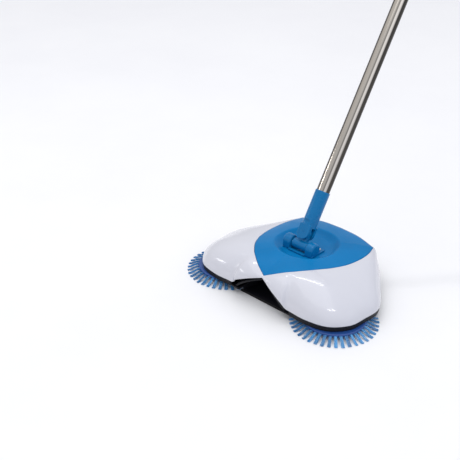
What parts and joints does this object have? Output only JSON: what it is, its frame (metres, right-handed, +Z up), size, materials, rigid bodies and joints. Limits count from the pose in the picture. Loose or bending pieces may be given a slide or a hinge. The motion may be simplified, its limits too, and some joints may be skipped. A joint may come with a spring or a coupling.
{
  "type": "spin sweeper",
  "caption": "Hand-push spin sweeper: a low two-lobed head with round side brushes, an arched intake, a roller brush and a floor door, on a leaning telescopic steel handle.",
  "frame": {"origin": "on the floor, at the middle of the whole object's box, handle included", "axes": "+Z up; the intake faces -Y and the handle leans back towards +Y; +X is to the right seen from behind the handle's lean, across the two side brushes"},
  "size_m": [0.3182, 0.5991, 0.8314],
  "materials": {
    "cover_white": "gloss",
    "panel_blue": "satin gloss",
    "hub_navy": "matte",
    "bristle_blue": "soft filament",
    "chassis_black": "satin",
    "rubber_black": "matte",
    "tube_steel": "polished",
    "pin_steel": "bright",
    "nylon_white": "matte"
  },
  "bodies": {
    "head": {"chassis": "chassis_black", "top_cover": "cover_white", "top_panel": "panel_blue", "joint_base": "panel_blue", "pitch_pin": "pin_steel", "intake_duct": "chassis_black", "intake_ramp": "chassis_black", "intake_lip": "rubber_black", "dust_bin": "chassis_black", "bin_door_pin": "pin_steel", "roller_belt": "rubber_black", "cover_screw_front_left": "pin_steel", "cover_screw_front_right": "pin_steel", "cover_screw_rear_left": "pin_steel", "cover_screw_rear_right": "pin_steel", "base_screw_left": "pin_steel", "base_screw_right": "pin_steel", "axle_bush_left": "nylon_white", "axle_bush_right": "nylon_white", "rear_roller_pin_left": "pin_steel", "rear_roller_pin_right": "pin_steel"},
    "wheel_left": {"wheel_left": "nylon_white", "tyre_left": "rubber_black", "stub_axle_left": "pin_steel"},
    "wheel_right": {"wheel_right": "nylon_white", "tyre_right": "rubber_black", "stub_axle_right": "pin_steel", "drive_pulley": "nylon_white"},
    "lay_left": {"lay_shaft_left": "pin_steel", "front_pinion_left": "nylon_white", "rear_pinion_left": "nylon_white"},
    "lay_right": {"lay_shaft_right": "pin_steel", "front_pinion_right": "nylon_white", "rear_pinion_right": "nylon_white"},
    "brush_left": {"side_brush_hub_left": "hub_navy", "side_brush_bristles_left": "bristle_blue", "brush_gear_left": "nylon_white", "brush_screw_left": "pin_steel"},
    "brush_right": {"side_brush_hub_right": "hub_navy", "side_brush_bristles_right": "bristle_blue", "brush_gear_right": "nylon_white", "brush_screw_right": "pin_steel"},
    "roller": {"roller_shaft": "pin_steel", "roller_core": "hub_navy", "roller_bristles": "bristle_blue", "roller_pulley": "nylon_white"},
    "rear_roller_left": {"rear_roller_left": "rubber_black"},
    "rear_roller_right": {"rear_roller_right": "rubber_black"},
    "bin_door": {"bin_door": "chassis_black"},
    "bin_latch": {"bin_latch": "panel_blue"},
    "cross": {"joint_cross": "panel_blue", "tilt_pin": "pin_steel"},
    "handle": {"handle_socket": "panel_blue", "lower_tube": "tube_steel", "collar_seat": "nylon_white"},
    "lock_collar": {"lock_collar": "panel_blue"},
    "upper_handle": {"upper_tube": "tube_steel", "tube_plug": "nylon_white", "grip": "panel_blue"}
  },
  "joints": [
    {"name": "handle_pitch", "type": "hinge", "parent": "head", "child": "cross", "pos_m": [0, -0.1965, 0.06], "axis": [1, 0, 0], "range_deg": [-45.6, 40]},
    {"name": "handle_tilt", "type": "hinge", "parent": "cross", "child": "handle", "pos_m": [0, -0.18686, 0.0752], "axis": [0, 0.8443, -0.5358], "range_deg": [-45, 45]},
    {"name": "collar_twist", "type": "hinge", "parent": "handle", "child": "lock_collar", "pos_m": [0, 0.10356, 0.53282], "axis": [0, 0.5358, 0.8443], "range_deg": [0, 90]},
    {"name": "handle_extend", "type": "slide", "parent": "handle", "child": "upper_handle", "axis": [0, 0.5358, 0.8443], "range_m": [-0.185, 0.14]},
    {"name": "wheel_left_spin", "type": "hinge", "parent": "head", "child": "wheel_left", "pos_m": [-0.083, -0.16, 0.021], "axis": [1, 0, 0], "continuous": true},
    {"name": "wheel_right_spin", "type": "hinge", "parent": "head", "child": "wheel_right", "pos_m": [0.083, -0.16, 0.021], "axis": [1, 0, 0], "continuous": true},
    {"name": "lay_left_spin", "type": "hinge", "parent": "head", "child": "lay_left", "pos_m": [-0.09825, -0.197, 0.021], "axis": [0, 1, 0], "continuous": true},
    {"name": "lay_right_spin", "type": "hinge", "parent": "head", "child": "lay_right", "pos_m": [0.09825, -0.197, 0.021], "axis": [0, 1, 0], "continuous": true},
    {"name": "brush_left_spin", "type": "hinge", "parent": "head", "child": "brush_left", "pos_m": [-0.09825, -0.242, 0.005], "axis": [0, 0, 1], "continuous": true},
    {"name": "brush_right_spin", "type": "hinge", "parent": "head", "child": "brush_right", "pos_m": [0.09825, -0.242, 0.005], "axis": [0, 0, 1], "continuous": true},
    {"name": "roller_spin", "type": "hinge", "parent": "head", "child": "roller", "pos_m": [0, -0.22, 0.027], "axis": [1, 0, 0], "continuous": true},
    {"name": "rear_roller_left_spin", "type": "hinge", "parent": "head", "child": "rear_roller_left", "pos_m": [-0.061, -0.12, 0.008], "axis": [1, 0, 0], "continuous": true},
    {"name": "rear_roller_right_spin", "type": "hinge", "parent": "head", "child": "rear_roller_right", "pos_m": [0.061, -0.12, 0.008], "axis": [1, 0, 0], "continuous": true},
    {"name": "bin_door_hinge", "type": "hinge", "parent": "head", "child": "bin_door", "pos_m": [0, -0.1895, 0.0092], "axis": [1, 0, 0], "range_deg": [-85, 0]},
    {"name": "latch_slide", "type": "slide", "parent": "head", "child": "bin_latch", "axis": [0, 1, 0], "range_m": [0, 0.006], "stiffness_N_per_m": 300}
  ],
  "couplings": [
    {"joint": "lay_left_spin", "follows": "wheel_left_spin", "ratio": 2.5},
    {"joint": "brush_left_spin", "follows": "wheel_left_spin", "ratio": 0.66667},
    {"joint": "lay_right_spin", "follows": "wheel_right_spin", "ratio": -2.5},
    {"joint": "brush_right_spin", "follows": "wheel_right_spin", "ratio": -0.66667},
    {"joint": "roller_spin", "follows": "wheel_right_spin", "ratio": 1}
  ]
}
